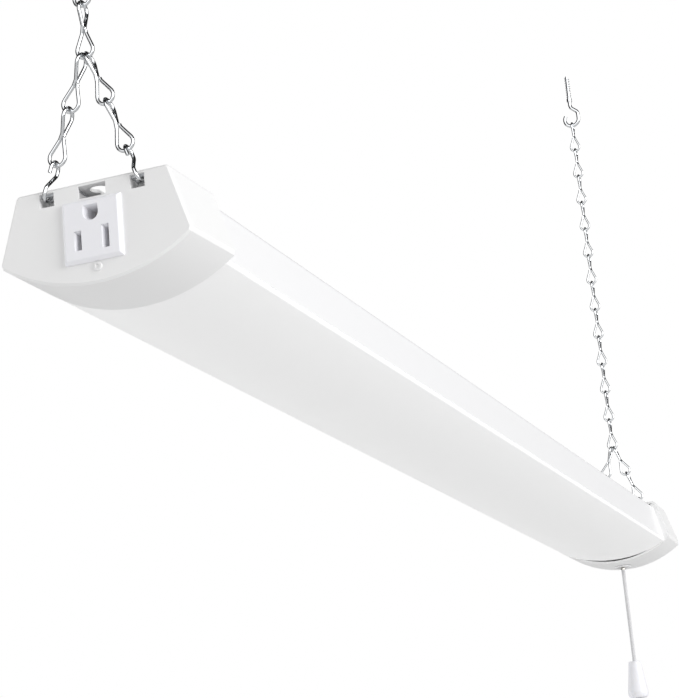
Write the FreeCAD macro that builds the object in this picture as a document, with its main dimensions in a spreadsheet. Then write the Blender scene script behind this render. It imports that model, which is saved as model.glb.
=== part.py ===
import FreeCAD, Part
import math
import os

from FreeCAD import Placement, Rotation, Vector
import Sketcher

# A linkable LED shop light that hangs from two jack chains. Millimetres, +X along
# the light from its outlet end to its pull-cord end, +Z up. The origin is midway
# between the two ceiling hooks, at the height where the chains bear on them.

doc = FreeCAD.newDocument("hanging_shop_light")
dims = doc.addObject("Spreadsheet::Sheet", "dims")

DRIVING_SIZES = [
    ("light_length", 940),        # over both end caps
    ("hang_drop", 343),           # from the hooks' bearing to the top of the caps
    ("cap_depth", 42),
    ("cap_top_width", 73),        # the widths are those of the open end
    ("cap_shoulder_width", 91),
    ("cap_shoulder_drop", 29.4),
    ("cap_belly_drop", 44.7),
    ("cap_flare", 1.2),           # growth of each side from the closed to the open end
    ("cap_wall", 1.6),
    ("cap_corner_round", 2.4),
    ("cap_shoulder_bevel", 1.4),
    ("cap_face_bevel", 1),
    ("housing_inset", 24),        # from the cap's face to the end of the housing
    ("housing_top_width", 65),
    ("housing_top_drop", 2.6),
    ("housing_corner_width", 70.2),
    ("housing_corner_drop", 5.3),
    ("seam_width", 80.8),
    ("seam_drop", 30.3),
    ("sheet_steel", 0.8),
    ("housing_lip", 4),
    ("lens_gap", 0.1),            # between the lens and the rim of each cap
    ("lens_belly_drop", 42.3),
    ("lens_wall", 1.6),
    ("lens_rim", 2.6),
    ("hook_spread", 42),
    ("notch_width", 6.6),
    ("notch_drop", 7.6),
    ("roof_slot_end", 7.4),
    ("rim_depth", 3.4),           # the bar that each S-hook goes round, along x
    ("pivot_inset", 1.7),         # the middle of that bar, from the cap's face
    ("pivot_drop", 1.3),
    ("plate_steel", 1),
    ("plate_length", 62),
    ("outlet_width", 27.2),
    ("outlet_face_width", 24.6),
    ("outlet_proud", 2.4),
    ("outlet_drop", 21.9),        # cap top to the outlet's centre
    ("blade_spacing", 12.7),      # the standard spacing of a flat-blade mains outlet
    ("blade_drop", 26.1),
    ("earth_rise", 11.9),         # earth pin above the blades, standard too
    ("clamp_steel", 1),
    ("chain_wire", 1.8),
    ("chain_play", 0.1),
    ("link_pitch", 24),
    ("main_links", 12),
    ("loop_radius", 3.7),
    ("s_hook_radius", 3),
    ("leg_gap", 1.9),             # between the two legs where they share the last loop
    ("ceiling_wire", 3),
    ("ceiling_hook_radius", 6),
    ("cord_diameter", 3),
    ("cord_length", 75.6),        # from the mouth to the top of the knob
    ("cord_inset", 20),           # from the cap's face to the cord
    ("knob_height", 31),
    ("knob_width", 16.4),
]
for row, (alias, number) in enumerate(DRIVING_SIZES, start=1):
    dims.set(f"A{row}", alias)
    dims.set(f"B{row}", str(number))
    dims.setAlias(f"B{row}", alias)
doc.recompute()


def size(expression):
    """The number that an expression of the sheet's sizes comes to."""
    value = dims.evalExpression(expression)
    return float(getattr(value, "Value", value))


# ---------------------------------------------------------------- sketches and features

SUB_PARTS = []


def new_body(label, x="0", z="-dims.hang_drop", turn=0.0):
    """A body placed by the sheet: x along the light, z from the hooks' bearing."""
    body = doc.addObject("PartDesign::Body", label)
    body.Label = label
    body.Placement = Placement(Vector(), Rotation(Vector(0, 0, 1), turn))
    body.setExpression("Placement.Base.x", x)
    body.setExpression("Placement.Base.z", z)
    SUB_PARTS.append(body)
    return body


def blank_sketch(body, name, plane, offset="0"):
    """An empty sketch on one of the body's origin planes, shifted along its normal."""
    sketch = body.newObject("Sketcher::SketchObject", f"{body.Name}_{name}")
    support = next(item for item in body.Origin.OriginFeatures if item.Role == plane)
    sketch.AttachmentSupport = [(support, "")]
    sketch.MapMode = "FlatFace"
    sketch.setExpression("AttachmentOffset.Base.z", offset)
    return sketch


def pin_point(sketch, edge, end, place):
    """Hold one end of a sketch edge at a place given as two expressions."""
    for kind, expression in zip(("DistanceX", "DistanceY"), place):
        index = sketch.addConstraint(
            Sketcher.Constraint(kind, -1, 1, edge, end, size(expression)))
        sketch.setExpression(f"Constraints[{index}]", expression)


def add_outline(sketch, corners):
    """A closed outline. A corner is (u, v), or (u, v, mid_u, mid_v) where the edge that
    starts there is an arc through the middle point; all are expressions."""
    points = [Vector(size(corner[0]), size(corner[1]), 0) for corner in corners]
    first_edge = sketch.GeometryCount
    ends = []                     # which end of each edge is its first and its last
    for index, corner in enumerate(corners):
        start, end = points[index], points[(index + 1) % len(points)]
        ends.append((1, 2))
        if len(corner) == 2:
            sketch.addGeometry(Part.LineSegment(start, end), False)
            continue
        middle = Vector(size(corner[2]), size(corner[3]), 0)
        if (middle - start).cross(end - middle).z < 0:
            start, end = end, start           # a sketch keeps arcs anticlockwise
            ends[-1] = (2, 1)
        sketch.addGeometry(Part.Arc(start, middle, end), False)
    for index, corner in enumerate(corners):
        sketch.addConstraint(Sketcher.Constraint(
            "Coincident", first_edge + index, ends[index][0],
            first_edge + (index - 1) % len(corners), ends[index - 1][1]))
        pin_point(sketch, first_edge + index, ends[index][0], corner[:2])
    for index, corner in enumerate(corners):
        if len(corner) == 4:
            middle = sketch.addGeometry(Part.Point(
                Vector(size(corner[2]), size(corner[3]), 0)), True)
            pin_point(sketch, middle, 1, corner[2:])
            sketch.addConstraint(
                Sketcher.Constraint("PointOnObject", middle, 1, first_edge + index))


def outline(body, name, plane, corners, offset="0"):
    sketch = blank_sketch(body, name, plane, offset)
    add_outline(sketch, corners)
    return sketch


def rectangle(u, v, width, height):
    """Corners of a rectangle about (u, v), as expressions."""
    return [(f"{u} - ({width}) / 2", f"{v} - ({height}) / 2"),
            (f"{u} + ({width}) / 2", f"{v} - ({height}) / 2"),
            (f"{u} + ({width}) / 2", f"{v} + ({height}) / 2"),
            (f"{u} - ({width}) / 2", f"{v} + ({height}) / 2")]


def add_circle(sketch, u, v, diameter):
    radius = size(diameter) / 2
    edge = sketch.addGeometry(
        Part.Circle(Vector(size(u), size(v), 0), Vector(0, 0, 1), radius), False)
    index = sketch.addConstraint(Sketcher.Constraint("Diameter", edge, 2 * radius))
    sketch.setExpression(f"Constraints[{index}]", diameter)
    pin_point(sketch, edge, 3, (u, v))


def circles(body, name, plane, places, diameter, offset="0"):
    sketch = blank_sketch(body, name, plane, offset)
    for u, v in places:
        add_circle(sketch, u, v, diameter)
    return sketch


def extrude(body, kind, sketch, length, midplane=False, reverse=False):
    """A Pad or a Pocket of one sketch; the volume must change the way it should."""
    before = body.Shape.Volume if body.Tip else 0.0
    feature = body.newObject(f"PartDesign::{kind}", f"{sketch.Name}_{kind.lower()}")
    feature.Profile = sketch
    feature.setExpression("Length", length)
    if midplane:
        feature.SideType = "Symmetric"
    feature.Reversed = reverse
    sketch.Visibility = False
    doc.recompute()
    grown = body.Shape.Volume - before
    if (grown > 0) != (kind == "Pad") or abs(grown) < 1e-3:
        raise RuntimeError(f"{feature.Name} changed the volume by {grown:.3f}")
    return feature


def pad(body, sketch, length, midplane=False, reverse=False):
    return extrude(body, "Pad", sketch, length, midplane, reverse)


def pocket(body, sketch, length, midplane=False, reverse=False):
    return extrude(body, "Pocket", sketch, length, midplane, reverse)


def hollow_out(body, wall, is_mouth):
    """A Thickness of one wall all round, open at the face that is_mouth(face) picks."""
    base = body.Tip
    mouth = [f"Face{number}" for number, face in enumerate(base.Shape.Faces, start=1)
             if is_mouth(face)]
    shell = body.newObject("PartDesign::Thickness", f"{body.Name}_shell")
    shell.Base = (base, mouth)
    shell.setExpression("Value", wall)
    shell.Reversed = True                  # the wall grows inwards
    shell.Join = "Intersection"
    doc.recompute()
    if len(mouth) != 1 or not shell.Shape.isValid():
        raise RuntimeError(f"{shell.Name} has {len(mouth)} mouths")
    return shell


def revolve(body, kind, sketch, axis="V_Axis"):
    """A Revolution or a Groove of one sketch about the sketch's own axis."""
    feature = body.newObject(f"PartDesign::{kind}", f"{sketch.Name}_turn")
    feature.Profile = sketch
    feature.ReferenceAxis = (sketch, [axis])
    feature.Angle = 360
    doc.recompute()
    return feature


def dress(body, kind, wanted, radius):
    """A Fillet or Chamfer on the tip's edges that the test wanted(edge) picks."""
    base = body.Tip
    names = [f"Edge{number}" for number, edge in enumerate(base.Shape.Edges, start=1)
             if wanted(edge)]
    feature = body.newObject(f"PartDesign::{kind}", f"{base.Name}_{kind.lower()}")
    feature.Base = (base, names)
    feature.setExpression("Radius" if kind == "Fillet" else "Size", radius)
    doc.recompute()
    if not names or not feature.Shape.isValid():
        raise RuntimeError(f"{feature.Name} has {len(names)} edges")
    return feature


def along(edge, axis):
    """True for an edge that runs along one axis, give or take the draft."""
    way = edge.Vertexes[-1].Point - edge.Vertexes[0].Point
    return way.Length > 1e-6 and abs(way.normalize().dot(axis)) > 0.99


def check_volume(body, least):
    if body.Shape.Volume < least:
        raise RuntimeError(f"{body.Label} is smaller than it should be")


# ---------------------------------------------------------------- bent wire

SIDES = 6                # the wire's section is a hexagon, which keeps the links light


def bend(centre, radius, start, end, steps):
    """Points of a wire's bend from one angle to another, in degrees, drawn round the
    outside of the arc so that the loop is never tighter than its radius."""
    step = (end - start) / steps
    outer = radius / math.cos(math.radians(step / 2))
    angles = [start + step * (index + 0.5) for index in range(steps)]
    return [(centre[0] + outer * math.cos(math.radians(angle)),
             centre[1] + outer * math.sin(math.radians(angle))) for angle in angles]


def wire_pipe(body, name, plane, points, wire):
    """A wire along straight runs in one plane; its first run is vertical."""
    path = blank_sketch(body, f"{name}_path", plane)
    for start, end in zip(points, points[1:]):
        path.addGeometry(Part.LineSegment(Vector(*start, 0), Vector(*end, 0)), False)
    for index in range(len(points) - 2):
        path.addConstraint(Sketcher.Constraint("Coincident", index, 2, index + 1, 1))
    section = blank_sketch(body, f"{name}_section", "XY_Plane", str(points[0][1]))
    across = (points[0][0], 0) if plane == "XZ_Plane" else (0, points[0][0])
    corners = [Vector(across[0] + wire / 2 * math.cos(2 * math.pi * side / SIDES),
                      across[1] + wire / 2 * math.sin(2 * math.pi * side / SIDES), 0)
               for side in range(SIDES)]
    for side, corner in enumerate(corners):
        section.addGeometry(Part.LineSegment(corner, corners[(side + 1) % SIDES]), False)
        if side:
            section.addConstraint(Sketcher.Constraint("Coincident", side, 1, side - 1, 2))
    section.addConstraint(Sketcher.Constraint("Coincident", 0, 1, SIDES - 1, 2))
    doc.recompute()
    pipe = body.newObject("PartDesign::AdditivePipe", f"{name}_pipe")
    pipe.Profile = section
    pipe.Spine = path
    pipe.Transition = "Right corner"
    doc.recompute()
    return pipe


# ---------------------------------------------------------------- end caps

def cap_shell(label, x, turn):
    """A moulded cap: closed at its own x = 0, open at its depth, with drafted sides and
    soft edges, two hook notches whose rim stays as a bar, and the window and keyhole for
    a ceiling screw between them."""
    body = new_body(label, x=x, turn=turn)
    half_top, half_shoulder = "dims.cap_top_width / 2", "dims.cap_shoulder_width / 2"
    shoulder = "-dims.cap_shoulder_drop"
    open_end = outline(body, "open_end", "YZ_Plane", [
        (f"-{half_top}", "0"),
        (f"-{half_shoulder}", shoulder, "0", "-dims.cap_belly_drop"),
        (half_shoulder, shoulder), (half_top, "0")], "dims.cap_depth")
    pad(body, open_end, "dims.cap_depth", reverse=True)

    # Each side is cut back towards the face, along its own slope.
    slope = size(f"({half_shoulder} - {half_top}) / dims.cap_shoulder_drop")
    for hand, name in ((1, "left"), (-1, "right")):
        wedge = outline(body, f"draft_{name}", "XY_Plane", [
            ("0", f"{hand} * ({half_top} - dims.cap_flare)"),
            ("dims.cap_depth", f"{hand} * {half_top}"),
            ("dims.cap_depth", f"{hand} * dims.cap_top_width"),
            ("0", f"{hand} * dims.cap_top_width")])
        draft = pocket(body, wedge, "dims.cap_belly_drop * 1.5")
        draft.UseCustomVector = True
        draft.Direction = Vector(0, hand * slope, -1)
        doc.recompute()
    depth, ahead = size("dims.cap_depth"), Vector(1, 0, 0)
    hollow_out(body, "dims.cap_wall", lambda face: face.BoundBox.XMin > depth - 0.01)

    def outer_edge(lowest, highest):
        """A test for the long outer edges whose upper end lies between two heights."""
        return lambda edge: (along(edge, ahead) and edge.BoundBox.XMin < 0.01
                             and lowest < edge.BoundBox.ZMax < highest)

    dress(body, "Fillet", outer_edge(-1, 1), "dims.cap_corner_round")
    dress(body, "Chamfer", outer_edge(-40, -20), "dims.cap_shoulder_bevel")
    dress(body, "Chamfer", lambda edge: edge.BoundBox.XMax < 0.01, "dims.cap_face_bevel")

    # Notches: the cut goes in through the face, under the rim, and out of the roof.
    rim = "dims.rim_depth"
    for hand, name in ((-1, "right"), (1, "left")):
        notch = outline(body, f"notch_{name}", "XZ_Plane",
                        [("-3", "-dims.notch_drop"),
                         ("dims.roof_slot_end", "-dims.notch_drop"),
                         ("dims.roof_slot_end", "2"), ("-3", "2")],
                        f"{hand} * dims.hook_spread / 2")
        add_outline(notch, [("0", "-dims.cap_wall"), (rim, "-dims.cap_wall"),
                            (rim, "-0.6"), (f"{rim} - 0.6", "0"),
                            ("1", "0"), ("0.3", "-0.3"), ("0", "-1")])
        pocket(body, notch, "dims.notch_width", midplane=True)
    window = outline(body, "window", "YZ_Plane",
                     rectangle("0", "-4.4", "12.8", "5.6"), "-1")
    pocket(body, window, "dims.cap_wall + 2", reverse=True)
    keyhole = outline(body, "keyhole", "XY_Plane",
                      [("7", "-2.1"), ("17", "-2.1", "19.1", "0"), ("17", "2.1"),
                       ("7", "2.1")], "-dims.cap_wall - 0.5")
    pocket(body, keyhole, "dims.cap_wall + 1", reverse=True)
    screw_head = circles(body, "screw_head", "XY_Plane", [("8", "0")], "8.4",
                         "-dims.cap_wall - 0.5")
    pocket(body, screw_head, "dims.cap_wall + 1", reverse=True)
    return body


END = "dims.light_length / 2"
near_cap = cap_shell("near_end_cap", f"-{END}", 0)
outlet_window = outline(near_cap, "outlet_window", "YZ_Plane",
                        rectangle("0", "-dims.outlet_drop", "24", "24"), "-1")
pocket(near_cap, outlet_window, "dims.cap_wall + 2", reverse=True)
far_cap = cap_shell("far_end_cap", END, 180)
gland_hole = circles(far_cap, "gland_hole", "YZ_Plane",
                     [("0", "-dims.outlet_drop")], "15", "-1")
pocket(far_cap, gland_hole, "dims.cap_wall + 2", reverse=True)
collar_hole = circles(far_cap, "collar_hole", "XY_Plane",
                      [("dims.cord_inset", "0")], "10.4", "-60")
pocket(far_cap, collar_hole, "25", reverse=True)

# A groove behind the face takes the front edge of the hanger plate.
for cap in (near_cap, far_cap):
    groove = outline(cap, "plate_groove", "YZ_Plane",
                     rectangle("0", "-dims.cap_wall - dims.plate_steel / 2 - 0.05",
                               "62", "dims.plate_steel + 0.1"), "1.2")
    pocket(cap, groove, "dims.cap_wall", reverse=True)


# ---------------------------------------------------------------- housing and lens

def ring_outline(outer, inner):
    """A symmetric thin section from the right halves of its outside and its inside,
    both listed from the top down."""
    left_inner = [(f"-({u})", v) for u, v in inner]
    left_outer = [(f"-({u})", v) for u, v in outer]
    return outer + inner[::-1] + left_inner + left_outer[::-1]


STEEL = "dims.sheet_steel"
HOUSING_START = f"-{END} + dims.housing_inset"
HOUSING_LENGTH = "dims.light_length - 2 * dims.housing_inset"
LENS_START = f"-{END} + dims.cap_depth + dims.lens_gap"
LENS_LENGTH = "dims.light_length - 2 * (dims.cap_depth + dims.lens_gap)"

housing = new_body("housing")
housing_section = outline(housing, "section", "YZ_Plane", ring_outline(
    [("dims.housing_top_width / 2", "-dims.housing_top_drop"),
     ("dims.housing_corner_width / 2", "-dims.housing_corner_drop"),
     ("dims.seam_width / 2", "-dims.seam_drop"),
     ("dims.seam_width / 2 - dims.housing_lip", "-dims.seam_drop")],
    [("dims.housing_top_width / 2 - 0.3", f"-dims.housing_top_drop - {STEEL}"),
     (f"dims.housing_corner_width / 2 - {STEEL}", "-dims.housing_corner_drop - 0.2"),
     (f"dims.seam_width / 2 - 1.1 * {STEEL}", f"-dims.seam_drop + {STEEL}"),
     ("dims.seam_width / 2 - dims.housing_lip", f"-dims.seam_drop + {STEEL}")]),
    HOUSING_START)
pad(housing, housing_section, HOUSING_LENGTH)

# The lens is one extrusion: rims under the housing's lips and a curved belly.
RIM_FOOT = "-dims.seam_drop - dims.lens_rim"
FLANGE = "dims.seam_width / 2 - dims.housing_lip"
LENS_SIDE = "dims.seam_width / 2"
lens = new_body("lens")
lens_section = outline(lens, "section", "YZ_Plane", [
    (LENS_SIDE, "-dims.seam_drop"),
    (LENS_SIDE, RIM_FOOT, "0", "-dims.lens_belly_drop"),
    (f"-{LENS_SIDE}", RIM_FOOT), (f"-{LENS_SIDE}", "-dims.seam_drop"),
    (f"-({FLANGE})", "-dims.seam_drop"), (f"-({FLANGE})", "-dims.seam_drop - 1.2"),
    (f"-({LENS_SIDE} - dims.lens_wall)", "-dims.seam_drop - 1.2"),
    (f"-({LENS_SIDE} - dims.lens_wall)", RIM_FOOT,
     "0", "-dims.lens_belly_drop + dims.lens_wall"),
    (f"{LENS_SIDE} - dims.lens_wall", RIM_FOOT),
    (f"{LENS_SIDE} - dims.lens_wall", "-dims.seam_drop - 1.2"),
    (FLANGE, "-dims.seam_drop - 1.2"), (FLANGE, "-dims.seam_drop")], LENS_START)
pad(lens, lens_section, LENS_LENGTH)


# ---------------------------------------------------------------- light engine

# The tray lies on the housing's lips; the boards hang under it, the driver sits on it.
TRAY_FLOOR = f"-dims.seam_drop + {STEEL}"
tray = new_body("led_tray")
tray_section = outline(tray, "section", "YZ_Plane", [
    ("38.2", f"{TRAY_FLOOR} + 3.2"), ("38.2", TRAY_FLOOR), ("-38.2", TRAY_FLOOR),
    ("-38.2", f"{TRAY_FLOOR} + 3.2"), ("-37.4", f"{TRAY_FLOOR} + 3.2"),
    ("-37.4", f"{TRAY_FLOOR} + {STEEL}"), ("37.4", f"{TRAY_FLOOR} + {STEEL}"),
    ("37.4", f"{TRAY_FLOOR} + 3.2")], LENS_START)
pad(tray, tray_section, LENS_LENGTH)

BOARD = "1.2"
for hand, side in ((1, "left"), (-1, "right")):
    board = new_body(f"led_board_{side}")
    board_section = outline(board, "section", "YZ_Plane", rectangle(
        f"{hand} * 17", f"{TRAY_FLOOR} - {BOARD} / 2", "16", BOARD),
        f"{LENS_START} + 6")
    pad(board, board_section, f"{LENS_LENGTH} - 12")
    chips = new_body(f"led_chips_{side}")
    first_chip = outline(chips, "first", "XY_Plane", rectangle(
        "-414", f"{hand} * 17", "3.5", "2.8"), f"{TRAY_FLOOR} - {BOARD}")
    chip = pad(chips, first_chip, "0.8", reverse=True)
    row = chips.newObject("PartDesign::LinearPattern", f"led_chips_{side}_row")
    row.Originals = [chip]
    row.Direction = (first_chip, ["H_Axis"])
    row.Length = 828
    row.Occurrences = 24
    chips.Tip = row
    doc.recompute()
    check_volume(chips, 23 * 3.5 * 2.8 * 0.8)

DRIVER_FLOOR = f"{TRAY_FLOOR} + {STEEL}"
driver = new_body("driver_case")
driver_block = outline(driver, "block", "XY_Plane", rectangle("40", "0", "210", "38"),
                       DRIVER_FLOOR)
pad(driver, driver_block, "19")
driver_room = outline(driver, "room", "XY_Plane", rectangle("40", "0", "207", "35"),
                      f"{DRIVER_FLOOR} + 1.5")
pocket(driver, driver_room, "30", reverse=True)
driver_lid = new_body("driver_lid")
lid_plate = outline(driver_lid, "plate", "XY_Plane", rectangle("40", "0", "210", "38"),
                    f"{DRIVER_FLOOR} + 19")
pad(driver_lid, lid_plate, "1")


# ---------------------------------------------------------------- hanger plates

def hanger_plate(label, x, turn):
    """A flat steel plate on top of the housing. Its front edge sits in the cap's
    groove and backs the two bars that the S-hooks pull on."""
    body = new_body(label, x=x, turn=turn)
    plan = outline(body, "plan", "XY_Plane", [
        ("1.3", "-30.8"), ("dims.plate_length", "-30.8"), ("dims.plate_length", "30.8"),
        ("1.3", "30.8"), ("1.3", "7.4"), ("21", "7.4"), ("21", "-7.4"),
        ("1.3", "-7.4")], "-dims.cap_wall")
    pad(body, plan, "dims.plate_steel", reverse=True)
    for hand, name in ((-1, "right"), (1, "left")):
        slot = outline(body, f"slot_{name}", "XY_Plane", [
            ("3", f"{hand} * dims.hook_spread / 2 - dims.notch_width / 2"),
            ("dims.roof_slot_end", f"{hand} * dims.hook_spread / 2 - dims.notch_width / 2"),
            ("dims.roof_slot_end", f"{hand} * dims.hook_spread / 2 + dims.notch_width / 2"),
            ("3", f"{hand} * dims.hook_spread / 2 + dims.notch_width / 2")], "0")
        pocket(body, slot, "5")
    return body


hanger_plate("hanger_plate_near", f"-{END}", 0)
hanger_plate("hanger_plate_far", END, 180)


# ---------------------------------------------------------------- mains outlet

OUTLET_MIDDLE = "-dims.outlet_drop"
EARTH = "-dims.blade_drop + dims.earth_rise"
outlet = new_body("outlet_socket", x=f"-{END}")
outlet_flange = outline(outlet, "flange", "YZ_Plane", rectangle(
    "0", OUTLET_MIDDLE, "dims.outlet_width", "dims.outlet_width"), "-dims.outlet_proud")
pad(outlet, outlet_flange, "dims.outlet_proud")
front = -size("dims.outlet_proud")
dress(outlet, "Chamfer", lambda edge: edge.BoundBox.XMax < front + 0.01,
      "(dims.outlet_width - dims.outlet_face_width) / 2")
outlet_rear = outline(outlet, "rear", "YZ_Plane",
                      rectangle("0", OUTLET_MIDDLE, "23.6", "23.6"))
pad(outlet, outlet_rear, "17")
slots = blank_sketch(outlet, "slots", "YZ_Plane", "-dims.outlet_proud - 1")
for hand, tall in ((1, "7.2"), (-1, "8.8")):
    add_outline(slots, rectangle(f"{hand} * dims.blade_spacing / 2", "-dims.blade_drop",
                                 "2", tall))
add_outline(slots, [("-2.7", f"{EARTH} + 2.4"),
                    ("-2.7", f"{EARTH} - 0.4", "0", f"{EARTH} - 3.1"),
                    ("2.7", f"{EARTH} - 0.4"), ("2.7", f"{EARTH} + 2.4")])
pocket(outlet, slots, "30", reverse=True)

contacts = new_body("outlet_contacts", x=f"-{END}")
springs = blank_sketch(contacts, "blades", "YZ_Plane", "6")
for hand in (1, -1):
    add_outline(springs, rectangle(f"{hand} * (dims.blade_spacing / 2 + 0.65)",
                                   "-dims.blade_drop", "0.7", "6"))
pad(contacts, springs, "14")
earth_tab = outline(contacts, "earth", "YZ_Plane",
                    rectangle("0", EARTH, "4", "4"), "12")
pad(contacts, earth_tab, "8")

clamp = new_body("outlet_clamp", x=f"-{END}")
clamp_plate = blank_sketch(clamp, "plate", "YZ_Plane", "dims.cap_wall")
add_outline(clamp_plate, [("-15", "-8.4"), ("-15", "-34"), ("-5", "-40.4"),
                          ("5", "-40.4"), ("15", "-34"), ("15", "-8.4")])
add_outline(clamp_plate, rectangle("0", OUTLET_MIDDLE, "23.7", "23.7"))
pad(clamp, clamp_plate, "dims.clamp_steel")
SCREW_PLACE = [("-1", "-37.9")]
face_hole = circles(near_cap, "face_screw_hole", "YZ_Plane", SCREW_PLACE, "2.6", "-1")
pocket(near_cap, face_hole, "dims.cap_wall + 1.5", reverse=True)
clamp_hole = circles(clamp, "screw_hole", "YZ_Plane", SCREW_PLACE, "2.6")
pocket(clamp, clamp_hole, "5", reverse=True)
face_screw = new_body("face_screw", x=f"-{END}")
screw_head = circles(face_screw, "head", "YZ_Plane", SCREW_PLACE, "4", "-0.8")
pad(face_screw, screw_head, "0.8")
screw_shank = circles(face_screw, "shank", "YZ_Plane", SCREW_PLACE, "2.4")
pad(face_screw, screw_shank, "6")


# ---------------------------------------------------------------- power inlet

inlet = new_body("power_inlet", x=END, turn=180)
inlet_section = outline(inlet, "section", "XZ_Plane", [
    ("-2", "-dims.outlet_drop + 3.8"), ("-2", "-dims.outlet_drop + 9.4"),
    ("0", "-dims.outlet_drop + 9.4"),
    ("0", "-dims.outlet_drop + 7.3"), ("11", "-dims.outlet_drop + 7.3"),
    ("11", "-dims.outlet_drop + 3.8")])
inlet_axis = inlet_section.addGeometry(Part.LineSegment(
    Vector(-5, size("-dims.outlet_drop"), 0), Vector(15, size("-dims.outlet_drop"), 0)), True)
pin_point(inlet_section, inlet_axis, 1, ("-5", "-dims.outlet_drop"))
pin_point(inlet_section, inlet_axis, 2, ("15", "-dims.outlet_drop"))
revolve(inlet, "Revolution", inlet_section, "Axis0")


def hex_nut(body, plane, middle, across_corners, bore, offset, height):
    """A hexagon nut about (0, middle) on one of the origin planes."""
    section = blank_sketch(body, "section", plane, offset)
    corners = [math.radians(60 * corner) for corner in range(6)]
    add_outline(section, [(f"{across_corners / 2 * math.cos(angle)}",
                           f"{middle} + {across_corners / 2 * math.sin(angle)}")
                          for angle in corners])
    add_circle(section, "0", middle, bore)
    pad(body, section, height)


hex_nut(new_body("inlet_nut", x=END, turn=180), "YZ_Plane", "-dims.outlet_drop", 20.8,
        "14.7", "dims.cap_wall + 0.05", "4")


# ---------------------------------------------------------------- pull switch

SWITCH_X = f"{END} - dims.cord_inset"


def turned(label, corners, x=SWITCH_X):
    """A body of revolution about the cord's axis, from (radius, height) corners."""
    body = new_body(label, x=x)
    section = outline(body, "section", "XZ_Plane", corners)
    revolve(body, "Revolution", section)
    return body


turned("switch_collar", [("2.8", "-36"), ("5", "-36"), ("5", "-44.9"), ("6.5", "-44.9"),
                         ("6.5", "-45.9"), ("4.8", "-45.9"), ("2.8", "-41")])
hex_nut(new_body("switch_nut", x=SWITCH_X), "XY_Plane", "0", 15.6, "10.2", "-42.1", "2.1")
switch = new_body("switch_body", x=SWITCH_X)
switch_block = outline(switch, "block", "XY_Plane", rectangle("0", "0", "17", "22"), "-40")
pad(switch, switch_block, "22")
switch_room = circles(switch, "room", "XY_Plane", [("0", "0")], "10.1", "-41")
pocket(switch, switch_room, "17", reverse=True)
plunger = turned("switch_plunger", [("0", "-26"), ("4.2", "-26"), ("4.2", "-28"),
                                    ("2.75", "-28"), ("2.75", "-39.3"), ("0", "-39.3")])
plunger_tab = outline(plunger, "tab", "XZ_Plane", [
    ("-1.7", "-39.4"), ("-1.7", "-40.9", "0", "-42.6"), ("1.7", "-40.9"),
    ("1.7", "-39.4")])
plunger_tab_top = outline(plunger, "tab_top", "XZ_Plane", rectangle("0", "-39.3", "3.4", "0.4"))
pad(plunger, plunger_tab, "1.2", midplane=True)
pad(plunger, plunger_tab_top, "1.2", midplane=True)
tab_hole = circles(plunger, "tab_hole", "XZ_Plane", [("0", "-40.9")], "1.8")
pocket(plunger, tab_hole, "4", midplane=True)

# A split ring of flat wire, seen edge on from the end of the light.
ring = new_body("cord_ring", x=SWITCH_X)
ring_section = outline(ring, "section", "XZ_Plane", rectangle("0", "-40.9", "1", "0.9"))
ring_axis = ring_section.addGeometry(
    Part.LineSegment(Vector(-3, -43.1, 0), Vector(3, -43.1, 0)), True)
pin_point(ring_section, ring_axis, 1, ("-3", "-43.1"))
pin_point(ring_section, ring_axis, 2, ("3", "-43.1"))
revolve(ring, "Revolution", ring_section, "Axis0")

ferrule = turned("cord_ferrule", [("0", "-46.2"), ("1.8", "-46.2"), ("1.8", "-47.6"),
                                  ("0", "-47.6")])
ferrule_eye = outline(ferrule, "eye", "XZ_Plane", [
    ("-1.6", "-46.3"), ("-1.6", "-45.3", "0", "-43.7"), ("1.6", "-45.3"),
    ("1.6", "-46.3")])
pad(ferrule, ferrule_eye, "1", midplane=True)
eye_hole = circles(ferrule, "eye_hole", "XZ_Plane", [("0", "-45.3")], "1.7")
pocket(ferrule, eye_hole, "4", midplane=True)

KNOB_TOP = "-45.9 - dims.cord_length"
cord = new_body("pull_cord", x=SWITCH_X)
cord_section = circles(cord, "section", "XY_Plane", [("0", "0")], "dims.cord_diameter",
                       "-47.6")
pad(cord, cord_section, "dims.cord_length - 1.7 + 25", reverse=True)
turned("pull_knob", [
    ("1.7", KNOB_TOP), ("4.8", KNOB_TOP), ("dims.knob_width / 2", f"{KNOB_TOP} - 27"),
    ("6.4", f"{KNOB_TOP} - dims.knob_height"), ("4.5", f"{KNOB_TOP} - dims.knob_height"),
    ("4.5", f"{KNOB_TOP} - 24"), ("1.7", f"{KNOB_TOP} - 24")])
turned("cord_knot", [
    ("0", f"{KNOB_TOP} - 25.1"), ("3.4", f"{KNOB_TOP} - 25.1"),
    ("3.4", f"{KNOB_TOP} - 30"), ("0", f"{KNOB_TOP} - 30")])


# ---------------------------------------------------------------- jack chain

WIRE, PLAY = size("dims.chain_wire"), size("dims.chain_play")
PITCH, LOOP = size("dims.link_pitch"), size("dims.loop_radius")
LINK_HEIGHT = PITCH + WIRE + PLAY                 # between the two bearing points
SEAT = WIRE + PLAY                                # one wire lying on another
ZERO = "0"

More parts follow.
